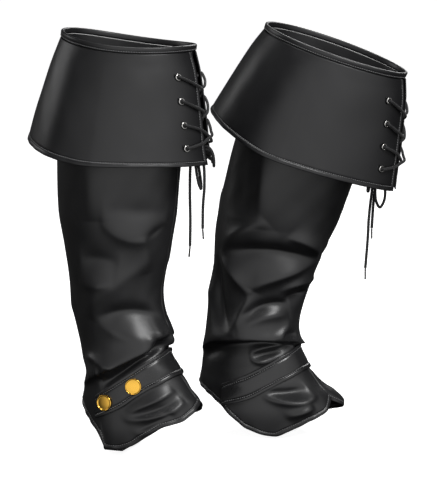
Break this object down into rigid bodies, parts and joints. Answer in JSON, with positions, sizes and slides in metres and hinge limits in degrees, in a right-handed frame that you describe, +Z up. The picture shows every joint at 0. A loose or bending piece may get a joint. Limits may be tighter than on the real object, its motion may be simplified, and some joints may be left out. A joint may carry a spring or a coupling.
{
  "type": "boot cover pair",
  "caption": "Pair of black imitation-leather boot covers for costume wear, with turned-down laced cuffs, slouchy shafts, buttoned ankle straps and flared insteps",
  "frame": {"origin": "between the two covers at the wearer's knees, where the knees and calves hold the covers up", "axes": "+Z up; the wearer faces -Y and their right is -X. The covers stand as worn, the left one a step ahead with its leg leaning forward"},
  "size_m": [0.3621, 0.484, 0.5653],
  "materials": {
    "leg_leather": "satin coated imitation leather, smooth with soft folds",
    "band_leather": "satin, topstitched",
    "cuff_leather": "satin, smooth, topstitched edges",
    "strap_leather": "satin, stitched edges",
    "elastic": "matt woven elastic",
    "lace_cord": "matt braided cord",
    "aglet": "gloss",
    "eyelet_metal": "nickel plated",
    "button_metal": "polished gold tone"
  },
  "bodies": {
    "root": {"right_outer_panel": "leg_leather", "right_inner_panel": "leg_leather", "right_top_band": "band_leather", "right_cuff": "cuff_leather", "right_ankle_strap": "strap_leather", "right_stirrup": "elastic", "right_eyelet_outer_1": "eyelet_metal", "right_eyelet_outer_2": "eyelet_metal", "right_eyelet_outer_3": "eyelet_metal", "right_eyelet_outer_4": "eyelet_metal", "right_eyelet_inner_1": "eyelet_metal", "right_eyelet_inner_2": "eyelet_metal", "right_eyelet_inner_3": "eyelet_metal", "right_eyelet_inner_4": "eyelet_metal", "right_button_1": "button_metal", "right_lace_loop_1": "lace_cord", "right_lace_end_1": "lace_cord", "right_aglet_1": "aglet", "right_button_2": "button_metal", "right_lace_loop_2": "lace_cord", "right_lace_end_2": "lace_cord", "right_aglet_2": "aglet", "right_lace": "lace_cord", "right_lace_knot": "lace_cord", "left_outer_panel": "leg_leather", "left_inner_panel": "leg_leather", "left_top_band": "band_leather", "left_cuff": "cuff_leather", "left_ankle_strap": "strap_leather", "left_stirrup": "elastic", "left_eyelet_outer_1": "eyelet_metal", "left_eyelet_outer_2": "eyelet_metal", "left_eyelet_outer_3": "eyelet_metal", "left_eyelet_outer_4": "eyelet_metal", "left_eyelet_inner_1": "eyelet_metal", "left_eyelet_inner_2": "eyelet_metal", "left_eyelet_inner_3": "eyelet_metal", "left_eyelet_inner_4": "eyelet_metal", "left_button_1": "button_metal", "left_lace_loop_1": "lace_cord", "left_lace_end_1": "lace_cord", "left_aglet_1": "aglet", "left_button_2": "button_metal", "left_lace_loop_2": "lace_cord", "left_lace_end_2": "lace_cord", "left_aglet_2": "aglet", "left_lace": "lace_cord", "left_lace_knot": "lace_cord"}
  },
  "joints": []
}
